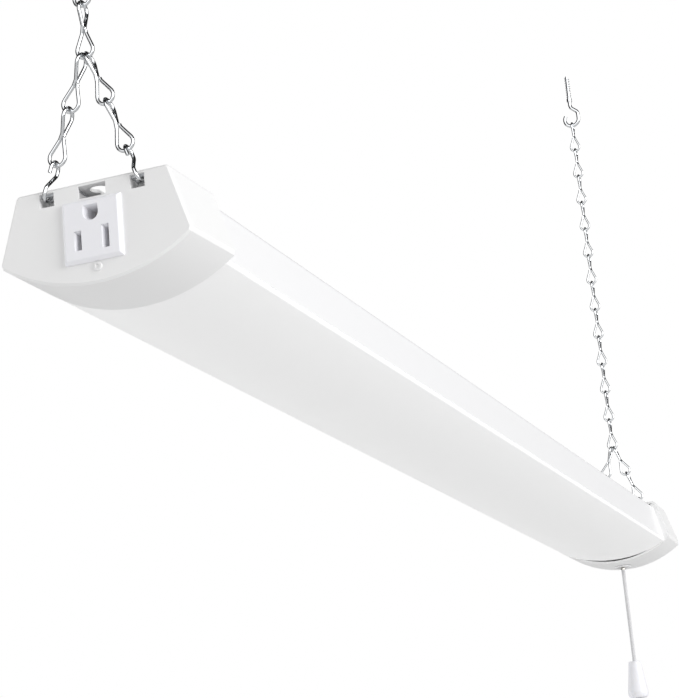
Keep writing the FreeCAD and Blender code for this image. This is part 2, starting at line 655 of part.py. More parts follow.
# One link is a figure of eight in one wire, its lower loop turned by a right angle,
# so that every link of the chain hangs the same way round.
LOOP_CENTRE = LINK_HEIGHT / 2 - LOOP
WAIST, WAIST_HEIGHT, WAIST_LAP = 0.95, 1.2, 0.9
reach = math.hypot(WAIST, LOOP_CENTRE - WAIST_HEIGHT)
touch = (-math.degrees(math.atan2(LOOP_CENTRE - WAIST_HEIGHT, WAIST))
         + math.degrees(math.acos(LOOP / reach)))
teardrop = [(-WAIST, -WAIST_LAP), (-WAIST, WAIST_HEIGHT)]
teardrop += bend((0, LOOP_CENTRE), LOOP, 180 - touch, touch, 4)
teardrop += [(WAIST, WAIST_HEIGHT), (WAIST, -WAIST_LAP)]
link = new_body("jack_link", z=ZERO)
wire_pipe(link, "upper_loop", "XZ_Plane", teardrop, WIRE)
wire_pipe(link, "lower_loop", "YZ_Plane", [(-u, -v) for u, v in teardrop], WIRE)

# The S-hook turns on the bar with its lower bend and holds a link in its upper one.
TOP_LINK_TOP = (size("dims.ceiling_wire") + WIRE) / 2 + PLAY
APEX = TOP_LINK_TOP - LINK_HEIGHT - (size("dims.main_links") - 1) * PITCH
LEG_TOP = APEX + SEAT
FOOT = -size("dims.hang_drop + dims.pivot_drop")
HALF_SPREAD = size("dims.hook_spread") / 2
sideways = HALF_SPREAD - size("dims.leg_gap") / 2
LEG_LENGTH = math.hypot(LEG_TOP - FOOT, sideways)
LEAN = math.degrees(math.atan2(sideways, LEG_TOP - FOOT))
HOOK_REACH = LEG_LENGTH - LINK_HEIGHT - PITCH      # pivot to the lowest link's bottom
BEND = size("dims.s_hook_radius")
UPPER = HOOK_REACH + SEAT - BEND                   # centre of the upper bend
s_hook = new_body("s_hook", z=ZERO)
wire_pipe(s_hook, "wire", "XZ_Plane",
          [(BEND, 2.6)] + bend((0, 0), BEND, 0, -180, 6)
          + [(-BEND, 2), (BEND, UPPER - 2)] + bend((0, UPPER), BEND, 0, 180, 6)
          + [(-BEND, UPPER - 2.4)], WIRE)

# The ceiling hook: a round wood-screw shank over an open hook.
CROOK = size("dims.ceiling_hook_radius")
ceiling_hook = new_body("ceiling_hook", z=ZERO)
wire_pipe(ceiling_hook, "crook", "YZ_Plane",
          [(0, 22), (0, 2 * CROOK + 5), (CROOK, 2 * CROOK)]
          + bend((0, CROOK), CROOK, 0, -210, 7), size("dims.ceiling_wire"))
shank = circles(ceiling_hook, "shank", "XY_Plane", [("0", "0")], "4.4", "22")
pad(ceiling_hook, shank, "24")
MASTERS = (link, s_hook, ceiling_hook)


def copies(label, master, placements):
    """One node that holds a copy of the master at each placement."""
    solids = []
    for placement in placements:
        solid = master.Shape.copy()
        solid.Placement = placement.multiply(solid.Placement)
        solids.append(solid)
    node = doc.addObject("Part::Feature", label)
    node.Label = label
    node.Shape = Part.makeCompound(solids) if len(solids) > 1 else solids[0]
    SUB_PARTS.append(node)
    return node


doc.recompute()
PIVOT_X = size(f"{END} - dims.pivot_inset")
for name, x, turn in (("near", -PIVOT_X, 0), ("far", PIVOT_X, 180)):
    upright = Rotation(Vector(0, 0, 1), turn)
    copies(f"ceiling_hook_{name}", ceiling_hook, [Placement(Vector(x, 0, 0), upright)])
    middles = [TOP_LINK_TOP - LINK_HEIGHT / 2 - index * PITCH
               for index in range(int(size("dims.main_links")))]
    places = [Placement(Vector(x, 0, z), upright) for z in middles]
    copies(f"top_link_{name}", link, places[:1])
    copies(f"chain_{name}", link, places[1:])
    for hand, side in ((1, "left"), (-1, "right")):
        foot = Placement(Vector(x, hand * HALF_SPREAD, FOOT),
                         Rotation(Vector(1, 0, 0), hand * LEAN).multiply(upright))
        leg = [foot.multiply(Placement(Vector(0, 0, HOOK_REACH + LINK_HEIGHT / 2 + rise),
                                       Rotation()))
               for rise in (0, PITCH)]
        copies(f"chain_leg_{name}_{side}", link, leg)
        copies(f"s_hook_{name}_{side}", s_hook, [foot])


# ---------------------------------------------------------------- checks and export

doc.recompute()
for item in doc.Objects:
    if "Invalid" in item.State or "Error" in item.State:
        raise RuntimeError(f"{item.Name} is {item.State}")
os.makedirs("parts", exist_ok=True)
for part in SUB_PARTS:
    if part in MASTERS:
        continue
    if part.Shape.isNull() or not part.Shape.isValid():
        raise RuntimeError(f"{part.Label} has a bad shape")
    part.Shape.exportStep(f"parts/{part.Label}.step")
print(f"{len(SUB_PARTS) - len(MASTERS)} nodes; legs lean {LEAN:.1f} degrees; "
      f"S-hook reach {HOOK_REACH:.2f}")
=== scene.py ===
# %% [markdown]
# # A hanging shop light
# The light is a folded steel housing over a frosted lens, with a moulded cap on each
# end. Two jack chains carry it, an outlet sits in one cap and a pull cord hangs from
# the other. The construction comes in as a fixed frame, in metres, and each piece made
# here is given to one of its bodies, so that it moves as the real one does.

# %% Load the frame
import math

import bmesh
import bpy
from mathutils import Matrix, Vector


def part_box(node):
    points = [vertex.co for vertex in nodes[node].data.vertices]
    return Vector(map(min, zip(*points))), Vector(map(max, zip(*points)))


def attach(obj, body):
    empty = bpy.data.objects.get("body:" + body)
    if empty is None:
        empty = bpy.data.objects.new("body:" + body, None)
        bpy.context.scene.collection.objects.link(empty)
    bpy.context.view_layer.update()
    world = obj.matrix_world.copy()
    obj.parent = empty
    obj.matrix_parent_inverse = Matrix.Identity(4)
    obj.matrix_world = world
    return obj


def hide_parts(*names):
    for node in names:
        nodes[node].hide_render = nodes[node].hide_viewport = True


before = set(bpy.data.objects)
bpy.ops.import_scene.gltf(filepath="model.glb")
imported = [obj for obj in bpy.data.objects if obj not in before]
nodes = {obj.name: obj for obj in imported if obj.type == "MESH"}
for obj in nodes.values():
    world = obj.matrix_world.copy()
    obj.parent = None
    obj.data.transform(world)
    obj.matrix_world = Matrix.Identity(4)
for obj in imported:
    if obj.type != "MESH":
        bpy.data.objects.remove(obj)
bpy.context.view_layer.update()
MM = 0.001
# Millimetres: ceiling to the light's top, and from its middle to its end and a cap's mouth.
HANG_DROP, LIGHT_END, CAP_MOUTH = 343.0, 470.0, 428.0
CORD_X = sum(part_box("pull_cord"), Vector()).x / 2

# %% [markdown]
# ## The camera
# The picture was taken from below and a little to one side of the near end. The place
# and the directions come from fitting a pinhole camera to the corners of the cap, the
# hooks and the chain's pitch. A long lens keeps the far end large.

# %% Place the camera
CAMERA_PLACE = Vector((-1.2110, -0.3660, -0.6524))
LOOKING = Vector((0.9078, 0.3223, 0.2684)).normalized()
PICTURE_UP = Vector((-0.2217, -0.1746, 0.9594))
FOCAL_PIXELS, PICTURE_HEIGHT, SENSOR_WIDTH = 2103.0, 698, 36.0
SHIFT_ACROSS, SHIFT_UP = -0.8, -3.5             # in pixels, measured on the near cap

camera_data = bpy.data.cameras.new("photo_camera")
camera_data.sensor_width = SENSOR_WIDTH
camera_data.lens = FOCAL_PIXELS / PICTURE_HEIGHT * SENSOR_WIDTH
camera_data.clip_start, camera_data.clip_end = 0.05, 50
camera_data.shift_x = SHIFT_ACROSS / PICTURE_HEIGHT
camera_data.shift_y = SHIFT_UP / PICTURE_HEIGHT
camera = bpy.data.objects.new("photo_camera", camera_data)
picture_right = LOOKING.cross(PICTURE_UP).normalized()
turn = Matrix((picture_right, picture_right.cross(LOOKING), -LOOKING)).transposed()
camera.matrix_world = Matrix.Translation(CAMERA_PLACE) @ turn.to_4x4()
bpy.context.scene.collection.objects.link(camera)
bpy.context.scene.camera = camera
bpy.context.scene.view_settings.view_transform = "Standard"
print("lens", round(camera_data.lens, 1), "mm")

# %% [markdown]
# ## How a finish is made
# Each finish starts from one Principled shader. Colours are written as the eye reads
# them on a screen, so one function turns them to the linear numbers that a shader
# takes. One more adds a node with its settings, values and links in a single line.

# %% Values for light and painted glow
LENS_PAINTED_GLOW = 0.1
SKY_STRENGTH, MIRRORED_DARK, MIRRORED_BRIGHT = 0.52, 0.02, 1.6
KEY_FROM, KEY_STRENGTH, KEY_SPREAD = (-0.26, -0.93, 0.2), 2.2, 45
FILL_FROM, FILL_STRENGTH, FILL_SPREAD = (-0.1, 0.99, -0.1), 1.4, 80
BRIGHT_SIDE = (-0.9078, -0.3223, -0.2684)
DARK_BELOW, BRIGHT_ABOVE = 0.35, 0.65           # how far to the bright side a ray points

# %% Helpers for the finishes
def linear(hex_colour):
    """An sRGB hex colour as the linear colour of a shader."""
    channels = [int(hex_colour[place:place + 2], 16) / 255 for place in (0, 2, 4)]
    return [c / 12.92 if c <= 0.04045 else ((c + 0.055) / 1.055) ** 2.4
            for c in channels] + [1.0]


def add_node(tree, kind, inputs, **settings):
    """A new node; each of its inputs is a number, a colour or another node's output."""
    node = tree.nodes.new(kind)
    for name, value in settings.items():
        setattr(node, name, value)
    for socket, value in inputs.items():
        if isinstance(value, bpy.types.NodeSocket):
            tree.links.new(value, node.inputs[socket])
        else:
            node.inputs[socket].default_value = value
    return node


def new_finish(name, colour, roughness, **sockets):
    """A material with one Principled shader; returns it with its tree and shader."""
    material = bpy.data.materials.new(name)
    material.use_nodes = True
    tree = material.node_tree
    shader = tree.nodes["Principled BSDF"]
    shader.inputs["Base Color"].default_value = linear(colour)
    shader.inputs["Roughness"].default_value = roughness
    for socket, value in sockets.items():
        shader.inputs[socket.replace("_", " ").title().replace("Ior", "IOR")
                      ].default_value = value
    return material, tree, shader


def grain(tree, shader, size_mm, depth_mm, stretch=(1, 1, 1), detail=2.0):
    """A noise relief of one grain size, on object coordinates; returns its output."""
    place = add_node(tree, "ShaderNodeTexCoord", {})
    mapping = add_node(tree, "ShaderNodeMapping",
                       {"Vector": place.outputs["Object"], "Scale": stretch})
    noise = add_node(tree, "ShaderNodeTexNoise",
                     {"Vector": mapping.outputs[0], "Scale": 1 / (size_mm * MM),
                      "Detail": detail})
    bump = add_node(tree, "ShaderNodeBump",
                    {"Height": noise.outputs[0], "Distance": depth_mm * MM,
                     "Strength": 1.0})
    tree.links.new(bump.outputs[0], shader.inputs["Normal"])
    return noise.outputs[0]


def vary(tree, shader, socket, pattern, low, high):
    """Let a pattern move one socket between two numbers or two colours."""
    if isinstance(low, str):
        blend = add_node(tree, "ShaderNodeValToRGB", {"Fac": pattern})
        blend.color_ramp.elements[0].color = linear(low)
        blend.color_ramp.elements[1].color = linear(high)
        tree.links.new(blend.outputs["Color"], shader.inputs[socket])
        return
    spread = add_node(tree, "ShaderNodeMapRange", {
        "Value": pattern, "From Min": 0.3, "From Max": 0.7, "To Min": low, "To Max": high})
    tree.links.new(spread.outputs[0], shader.inputs[socket])


# %% [markdown]
# ## White plastics and paint
# Nearly everything on this light is white, so the whites have to differ. The caps are
# injection-moulded ABS with a fine spark-eroded grain, which blurs the highlights. The
# housing is powder-coated steel: smoother, a little shinier, with a faint orange peel of
# about 2 mm. The outlet is a cooler, denser nylon. The knob is polypropylene, waxy and
# slightly see-through, so some light scatters under its skin. The face screw is painted to
# match its cap, so only its rim and its recess show.

# %% Make the white finishes
cap_abs, tree, shader = new_finish("moulded_abs", "F3F3F3", 0.42, specular_ior_level=0.3)
pattern = grain(tree, shader, size_mm=0.9, depth_mm=0.012)
vary(tree, shader, "Roughness", pattern, 0.36, 0.48)

powder_coat, tree, shader = new_finish("powder_coated_steel", "F5F5F6", 0.34,
                                       specular_ior_level=0.3)
grain(tree, shader, size_mm=2.0, depth_mm=0.012, detail=1.0)

outlet_nylon, tree, shader = new_finish("moulded_nylon", "F5F5F9", 0.36, specular_ior_level=0.3)
grain(tree, shader, size_mm=0.6, depth_mm=0.008)

collar_abs, tree, shader = new_finish("turned_collar_abs", "F0F0F1", 0.38)

knob_polypropylene, tree, shader = new_finish("moulded_polypropylene", "EEEEF2", 0.33)
shader.inputs["Subsurface Weight"].default_value = 0.25
shader.inputs["Subsurface Radius"].default_value = (1.5 * MM, 1.4 * MM, 1.3 * MM)
grain(tree, shader, size_mm=1.2, depth_mm=0.01)

screw_paint, tree, shader = new_finish("white_screw_paint", "EFEFEF", 0.3)

inlet_plastic, tree, shader = new_finish("inlet_abs", "ECECED", 0.4)
grain(tree, shader, size_mm=0.8, depth_mm=0.01)
print("seven white finishes")

# %% [markdown]
# ## The lens
# The diffuser is extruded frosted acrylic. Light enters it and scatters, so it has no
# hard shading, and it is a shade lighter than the caps where daylight passes through it
# from the far side. A weak subsurface scatter and a trace of painted glow stand for
# that: the lens is no lamp, but it emits a little white light.

# %% Make the frosted acrylic
frosted_acrylic_painted_glow, tree, shader = new_finish("frosted_acrylic_painted_glow", "F1F1F1", 0.46,
                                           specular_ior_level=0.3)
shader.inputs["Subsurface Weight"].default_value = 0.3
shader.inputs["Subsurface Radius"].default_value = (3 * MM, 3 * MM, 3 * MM)
# Painted glow: the lens is no lamp, but it emits a little white light.
shader.inputs["Emission Color"].default_value = linear("FFFFFF")
shader.inputs["Emission Strength"].default_value = LENS_PAINTED_GLOW
grain(tree, shader, size_mm=0.5, depth_mm=0.006)
print("frosted acrylic glows at", LENS_PAINTED_GLOW)

# %% [markdown]
# ## Metals
# The chain is bright zinc-plated wire. Drawn wire is smooth, so it mirrors its
# surroundings in long thin streaks, light in the middle and dark along both sides. The
# hanger plates are galvanised sheet. Its crystal spangle shows as patches a few
# millimetres wide, and a bloom of oxide dulls it, so it is only partly metallic. The
# outlet has brass contacts, and the cord's ring and ferrule are nickel-plated.

# %% Make the metals
zinc_wire, tree, shader = new_finish("zinc_plated_wire", "E2E4E6", 0.1, metallic=1.0)
pattern = grain(tree, shader, size_mm=3.0, depth_mm=0.008, detail=3.0)
vary(tree, shader, "Roughness", pattern, 0.07, 0.15)

galvanised, tree, shader = new_finish("galvanised_sheet", "C6C9CC", 0.5, metallic=0.3)
place = add_node(tree, "ShaderNodeTexCoord", {})
spangle = add_node(tree, "ShaderNodeTexVoronoi",
                   {"Vector": place.outputs["Object"], "Scale": 1 / (5 * MM)})
vary(tree, shader, "Roughness", spangle.outputs["Distance"], 0.3, 0.46)
vary(tree, shader, "Base Color", spangle.outputs["Distance"], "BEC1C4", "D2D4D7")

brass, tree, shader = new_finish("rolled_brass", "D8B660", 0.26, metallic=1.0)
grain(tree, shader, size_mm=0.8, depth_mm=0.004, stretch=(0.1, 1, 1))

nickel, tree, shader = new_finish("nickel_plate", "CFCCC6", 0.22, metallic=1.0)
grain(tree, shader, size_mm=0.7, depth_mm=0.004)

tray_aluminium, tree, shader = new_finish("rolled_aluminium", "D9DBDD", 0.4, metallic=1.0)
grain(tree, shader, size_mm=0.9, depth_mm=0.004, stretch=(0.05, 1, 1))
print("five metals")

# %% [markdown]
# ## Electronics and the braid
# The LED boards, the driver's case and the switch are out of sight, but they keep their
# real materials. The cord is braided polyester. Eight strands go round it each way, so
# its surface is a lattice of small bumps. Two sine waves that wind round the cord in
# opposite directions give that lattice, at the braid's own pitch. The same lattice
# darkens the colour in the grooves between the strands, as painted shade.

# %% Make the small finishes
solder_mask, tree, shader = new_finish("white_solder_mask", "F0F1EE", 0.33)
phosphor, tree, shader = new_finish("led_phosphor", "EBD97A", 0.45)
driver_plastic, tree, shader = new_finish("black_driver_plastic", "2B2C2E", 0.45)
grain(tree, shader, size_mm=1.0, depth_mm=0.02)
switch_plastic, tree, shader = new_finish("black_switch_plastic", "232426", 0.4)
grain(tree, shader, size_mm=0.8, depth_mm=0.015)

# %% Make the braid
BRAID_PITCH, CARRIERS, STRAND_HEIGHT = 7.0 * MM, 8, 0.16 * MM
braid, tree, shader = new_finish("braided_polyester", "E9E9EA", 0.7)
place = add_node(tree, "ShaderNodeTexCoord", {})
centred = add_node(tree, "ShaderNodeMapping", {
    "Vector": place.outputs["Object"], "Location": (-CORD_X, 0, 0)})
split = add_node(tree, "ShaderNodeSeparateXYZ", {"Vector": centred.outputs[0]})
around = add_node(tree, "ShaderNodeMath", {0: split.outputs["Y"], 1: split.outputs["X"]},
                  operation="ARCTAN2")
spoke = add_node(tree, "ShaderNodeMath", {0: around.outputs[0], 1: CARRIERS / 2},
                 operation="MULTIPLY")
climb = add_node(tree, "ShaderNodeMath", {
    0: split.outputs["Z"], 1: math.pi * CARRIERS / BRAID_PITCH}, operation="MULTIPLY")
waves = []
for hand in ("ADD", "SUBTRACT"):
    turn_about = add_node(tree, "ShaderNodeMath", {
        0: spoke.outputs[0], 1: climb.outputs[0]}, operation=hand)
    waves.append(add_node(tree, "ShaderNodeMath", {0: turn_about.outputs[0]},
                          operation="SINE"))
lattice = add_node(tree, "ShaderNodeMath", {
    0: waves[0].outputs[0], 1: waves[1].outputs[0]}, operation="MULTIPLY")
strands_and_groove_shade = add_node(tree, "ShaderNodeMath", {0: lattice.outputs[0]}, operation="ABSOLUTE")
relief = add_node(tree, "ShaderNodeBump", {
    "Height": strands_and_groove_shade.outputs[0], "Distance": STRAND_HEIGHT, "Strength": 1.0})
tree.links.new(relief.outputs[0], shader.inputs["Normal"])
# Painted shade: the colour is darker in the grooves between the strands.
vary(tree, shader, "Base Color", strands_and_groove_shade.outputs[0], "C4C4C6", "F4F4F5")
print("braid of", CARRIERS, "strands each way")

# %% [markdown]
# ## The pull cord
# The cord hangs straight under its knob, from the ferrule to a knot inside the knob. It
# is one open curve with a round bevel, so it keeps its real length and thickness. A
# curve on a few points is right for it, because a limp cord with a weight on its end has
# no bends to shape.

# %% Lay the cord
CORD_DIAMETER = 3.0 * MM
cord_low, cord_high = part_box("pull_cord")
cord_top = Vector((CORD_X, 0, cord_high.z))
cord_end = Vector((CORD_X, 0, cord_low.z))
curve = bpy.data.curves.new("pull_cord_line", "CURVE")
curve.dimensions = "3D"
curve.bevel_depth = CORD_DIAMETER / 2
curve.bevel_resolution = 6
curve.use_fill_caps = True
run = curve.splines.new("NURBS")
CORD_POINTS = 5
run.points.add(CORD_POINTS - 1)
for index, point in enumerate(run.points):
    point.co = (*cord_top.lerp(cord_end, index / (CORD_POINTS - 1)), 1)
run.order_u = 3
run.use_endpoint_u = True
pull_cord = bpy.data.objects.new("braided_cord", curve)
bpy.context.scene.collection.objects.link(pull_cord)
curve.materials.append(braid)
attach(pull_cord, "cord")
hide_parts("pull_cord")
print("cord", round((cord_top - cord_end).length / MM, 1), "mm")

# %% [markdown]
# ## From a mesh to a piece
# Every new mesh is finished the same way. Its normals are made to point outwards, it is
# shaded smooth except over real corners, and it gets a body and a finish. The large
# faces stay flat, because their normals count for more than those of the narrow
# rounded edges beside them.

# %% Helper that finishes a piece
SMOOTH_BELOW = math.radians(34)


def add_piece(name, shape, body, finish, slot, *replaced):
    """Make a named piece from a finished bmesh and free the bmesh."""
    bmesh.ops.recalc_face_normals(shape, faces=shape.faces)
    mesh = bpy.data.meshes.new(name)
    shape.to_mesh(mesh)
    shape.free()
    mesh.shade_smooth()
    mesh.set_sharp_from_angle(angle=SMOOTH_BELOW)
    mesh.materials.append(finish)
    piece = bpy.data.objects.new(name, mesh)
    bpy.context.scene.collection.objects.link(piece)
    even = piece.modifiers.new("even_normals", "WEIGHTED_NORMAL")
    even.keep_sharp = True
    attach(piece, body)
    if replaced:
        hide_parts(*replaced)
    return piece


# %% [markdown]
# ## Moulded and folded parts
# The construction already has the right form for the caps, the outlet, the housing and
# the lens, but its edges are knife-sharp. No real edge is: a mould or a press leaves a
# small radius, and that radius catches the light. So a copy of each part is joined into
# clean faces, and every corner edge is bevelled by the radius that its process leaves.

# %% Helper that rounds a part's edges
SAME_POINT, SAME_PLANE = 0.002 * MM, math.radians(0.8)


def rounded(node, radius_mm, segments=4, sharper_than=24, leave=lambda edge: False):
    """A bmesh copy of a construction node with joined faces and rounded edges, all but
    those that leave(edge) picks."""
    shape = bmesh.new()
    shape.from_mesh(nodes[node].data)
    bmesh.ops.remove_doubles(shape, verts=shape.verts, dist=SAME_POINT)
    bmesh.ops.dissolve_limit(shape, angle_limit=SAME_PLANE, verts=shape.verts,
                             edges=shape.edges)
    corner_edges = [edge for edge in shape.edges if len(edge.link_faces) == 2
                    and edge.calc_face_angle() > math.radians(sharper_than)
                    and not leave(edge)]
    bmesh.ops.bevel(shape, geom=corner_edges, offset=radius_mm * MM, segments=segments,
                    affect="EDGES", profile=0.5, material=-1, clamp_overlap=True,
                    offset_type="OFFSET")
    return shape


# %% Round the large parts
ROUNDED_PARTS = [
    # node, piece, radius in mm, body, finish, slot
    ("near_end_cap", "near_cap", 0.62, "light", cap_abs, "white_cap"),
    ("far_end_cap", "far_cap", 0.62, "light", cap_abs, "white_cap"),
    ("housing", "folded_housing", 0.45, "light", powder_coat, "white_enamel"),
    ("lens", "diffuser", 0.75, "light", frosted_acrylic_painted_glow, "frosted_lens"),
    ("switch_collar", "cord_collar", 0.25, "light", collar_abs, "collar_plastic"),
    ("power_inlet", "inlet_bush", 0.4, "light", inlet_plastic, "inlet_plastic"),
    ("inlet_nut", "inlet_ring_nut", 0.3, "light", inlet_plastic, "inlet_plastic"),
    ("hanger_plate_near", "near_hanger", 0.12, "light", galvanised, "zinc_steel"),
    ("hanger_plate_far", "far_hanger", 0.12, "light", galvanised, "zinc_steel"),
    ("cord_ring", "split_ring", 0.12, "ring", nickel, "ring_steel"),
    ("cord_ferrule", "crimped_ferrule", 0.15, "cord", nickel, "ring_steel"),
    ("switch_plunger", "switch_stem", 0.15, "plunger", switch_plastic, "switch_plastic"),
]
for node, name, radius, body, finish, slot in ROUNDED_PARTS:
    add_piece(name, rounded(node, radius), body, finish, slot, node)
print(len(ROUNDED_PARTS), "rounded parts")

# %% [markdown]
# ## The outlet's lead-ins
# A real outlet's slots are wider at the face, so that the blades find their way in. The
# slots' rims stay sharp while the rest is rounded. A cut all round at the lead-in's depth
# gives the walls a second row of corners, and then the rims move outwards.

# %% Widen the mouths of the slots
LEAD_DEPTH, LEAD_WIDTH, SLOTS_WITHIN, WALL_ANGLE = 1.6, 0.9, 9.5, math.radians(50)
ON_FACE, EVEN_REACH = 0.01, 1.0
SLOT_MIDDLES = [Vector((across * MM, height * MM))
                for across, height in ((0, -357.6), (-6.35, -369.1), (6.35, -369.1))]
face_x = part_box("outlet_socket")[0].x


def on_slot_rim(edge):
    """Whether an edge lies in the outlet's face, within the reach of its slots."""
    return all(vert.co.x < face_x + ON_FACE * MM and abs(vert.co.y) < SLOTS_WITHIN * MM
               for vert in edge.verts)


def slant(distance):
    """A distance from a slot's middle, cut to one reach so that corners move diagonally."""
    return math.copysign(min(abs(distance), EVEN_REACH * MM), distance)


outlet = rounded("outlet_socket", 0.3, leave=on_slot_rim)
bmesh.ops.bisect_plane(outlet, geom=outlet.verts[:] + outlet.edges[:] + outlet.faces[:],
                       plane_co=(face_x + LEAD_DEPTH * MM, 0, 0), plane_no=(1, 0, 0))
rim_verts = {vert for edge in outlet.edges
             if on_slot_rim(edge) and edge.calc_face_angle(0) > WALL_ANGLE
             for vert in edge.verts}
for vert in rim_verts:
    spot = vert.co.yz
    outwards = spot - min(SLOT_MIDDLES, key=lambda middle: (middle - spot).length)
    push = Vector((slant(outwards.x), slant(outwards.y))).normalized()
    vert.co.yz = spot + push * LEAD_WIDTH * MM
add_piece("outlet_face", outlet, "light", outlet_nylon, "outlet_nylon", "outlet_socket")
print(len(rim_verts), "rim corners moved out")

# %% [markdown]
# ## The lips of the caps' mouths
# Each cap is wider than the housing that goes into it. A moulded lip closes the space at
# both sides, and it is what shows as a white band beside the housing at the far end. It
# is a flat strip between two outlines, bridged and given its thickness.

# %% Bridge the lips
LIP_THICKNESS, LIP_SETBACK = 1.2, 0.1
# Across and down from the light's top, in mm; each path starts under the shoulder.
LIP_OUTSIDE = [(42.0, -30.6), (43.9, -28.8), (37.0, -4.8), (35.2, -1.5)]
LIP_INSIDE = [(38.6, -32.6), (39.9, -29.6), (34.6, -5.4), (32.4, -2.6)]
for end, hand_x in (("near", -1), ("far", 1)):
    lips = bmesh.new()
    mouth_x = hand_x * (CAP_MOUTH + LIP_SETBACK)
    rows = []
    for path in (LIP_OUTSIDE, LIP_INSIDE):
        row = [lips.verts.new(Vector((mouth_x, across, height - HANG_DROP)) * MM)
               for across, height in path]
        rows += [lips.edges.new(pair) for pair in zip(row, row[1:])]
    strip = bmesh.ops.bridge_loops(lips, edges=rows)["faces"]
    thick = bmesh.ops.extrude_face_region(lips, geom=strip)["geom"]
    bmesh.ops.translate(
        lips, vec=(hand_x * LIP_THICKNESS * MM, 0, 0),
        verts=[item for item in thick if isinstance(item, bmesh.types.BMVert)])
    bmesh.ops.mirror(lips, geom=lips.faces[:] + lips.edges[:] + lips.verts[:], axis="Y",
                     merge_dist=-1)
    add_piece(f"{end}_mouth_lips", lips, "light", cap_abs, "white_cap")
print("lips", LIP_THICKNESS, "mm thick")

# %% [markdown]
# ## The walls behind the openings
# Behind each notch and each face window the moulding has thin walls. They are what shows
# light grey inside the openings. Each set is a box with its outer, upper and lower faces
# taken away, and the walls that are left get a thickness.

# %% Put walls behind the openings
POCKET_WALL, POCKET_TOP, OFF_MIDDLE = 0.8, 2.75, 0.1
POCKETS = [  # middle across, half width, depth from and to behind the face, height, in mm
    (21.0, 3.4, 1.7, 8.2, 5.4), (-21.0, 3.4, 1.7, 8.2, 5.4), (0.0, 7.5, 1.7, 21.5, 7.2)]
for end, hand_x in (("near", -1), ("far", 1)):
    pockets = bmesh.new()
    for across, half_width, start, stop, height in POCKETS:
        middle = Vector((hand_x * (LIGHT_END - (start + stop) / 2), across,
                         -HANG_DROP - POCKET_TOP - height / 2)) * MM
        room = Matrix.Diagonal(Vector((stop - start, 2 * half_width, height)) * MM).to_4x4()
        box = bmesh.ops.create_cube(pockets, size=1,
                                    matrix=Matrix.Translation(middle) @ room)
        opened = []
        for face in {face for vert in box["verts"] for face in vert.link_faces}:
            away = (face.calc_center_median() - middle) / MM
            if abs(away.z) > OFF_MIDDLE or away.x * hand_x > OFF_MIDDLE:
                opened.append(face)
        bmesh.ops.delete(pockets, geom=opened, context="FACES_ONLY")
    bmesh.ops.solidify(pockets, geom=pockets.faces[:], thickness=-POCKET_WALL * MM)
    add_piece(f"{end}_pocket_walls", pockets, "light", cap_abs, "white_cap")
print("walls behind", 2 * len(POCKETS), "openings")

# %% Give the inner parts their materials
INNER_FINISHES = {
    "led_tray": tray_aluminium, "led_board_left": solder_mask,
    "led_board_right": solder_mask, "led_chips_left": phosphor,
    "led_chips_right": phosphor, "driver_case": driver_plastic,
    "driver_lid": driver_plastic, "outlet_contacts": brass, "outlet_clamp": galvanised,
    "switch_nut": nickel, "switch_body": switch_plastic,
}
for node, finish in INNER_FINISHES.items():
    nodes[node].material_slots[0].material = finish
print(len(INNER_FINISHES), "inner parts")

# %% [markdown]
# ## Bent wire
# Chain links and hooks are one length of wire, bent round pins. The same thing is done
# here. A small disc is the wire's end. Along a straight run it is extruded, and at a bend
# it is spun round the pin's centre. So every bend is a true arc of a real radius, and
# the wire keeps its thickness all the way, which a curve drawn by eye doesn't do.

# %% Helpers that bend wire
WIRE_SIDES, BEND_STEP, SHORTEST_RUN = 16, math.radians(11), 1e-7


def draw_out(shape, ring, travel):
    """Extrude an open ring of edges along a straight run; returns the ring at its end."""
    if travel.length < SHORTEST_RUN:
        return ring
    drawn = bmesh.ops.extrude_edge_only(shape, edges=ring)["geom"]
    moved = {item for item in drawn if isinstance(item, bmesh.types.BMVert)}
    bmesh.ops.translate(shape, verts=list(moved), vec=travel)
    return [item for item in drawn if isinstance(item, bmesh.types.BMEdge)
            and set(item.verts) <= moved]


def bend_wire(shape, corners, thickness, radii):
    """Add a wire through corners to a bmesh, with a bend of each radius between its
    runs. Corners and sizes are in millimetres."""
    points = [Vector(corner) * MM for corner in corners]
    heading = (points[1] - points[0]).normalized()
    across_wire = heading.to_track_quat("Z", "Y").to_matrix().to_4x4()
    disc = bmesh.ops.create_circle(
        shape, cap_ends=True, segments=WIRE_SIDES, radius=thickness / 2 * MM,
        matrix=Matrix.Translation(points[0]) @ across_wire)
    ring = list({edge for vert in disc["verts"] for edge in vert.link_edges})
    place = points[0]
    for corner, following, radius in zip(points[1:], points[2:], radii):
        onward = (following - corner).normalized()
        turning = heading.angle(onward)
        trim = radius * MM * math.tan(turning / 2)
        bend_start = corner - heading * trim
        ring = draw_out(shape, ring, bend_start - place)
        axis = heading.cross(onward).normalized()
        pin = bend_start + axis.cross(heading) * radius * MM
        bent = bmesh.ops.spin(shape, geom=ring, cent=pin, axis=axis, angle=turning,
                              steps=max(2, round(turning / BEND_STEP)))
        ring = [item for item in bent["geom_last"] if isinstance(item, bmesh.types.BMEdge)]
        place, heading = corner + onward * trim, onward
    ring = draw_out(shape, ring, points[-1] - place)
    bmesh.ops.edgeloop_fill(shape, edges=ring)


def pin_corners(centre, radius, start, end):
    """The two corners of a wire that goes round a pin in one arc, as (u, v) pairs."""
    half_step = math.radians((end - start) / 4)
    reach = radius / math.cos(half_step)
    angles = (math.radians(start) + half_step, math.radians(end) - half_step)
    return [(centre[0] + reach * math.cos(angle), centre[1] + reach * math.sin(angle))
            for angle in angles]


# %% [markdown]
# ## One link of jack chain
# A jack chain's link is a figure of eight. Its lower loop is turned a quarter against
# the upper one, so the chain hangs flat to neither side. Both loops close against the
# waist with a free end. The wire starts at one free end, goes round the upper loop,
# crosses the waist and goes round the lower one.

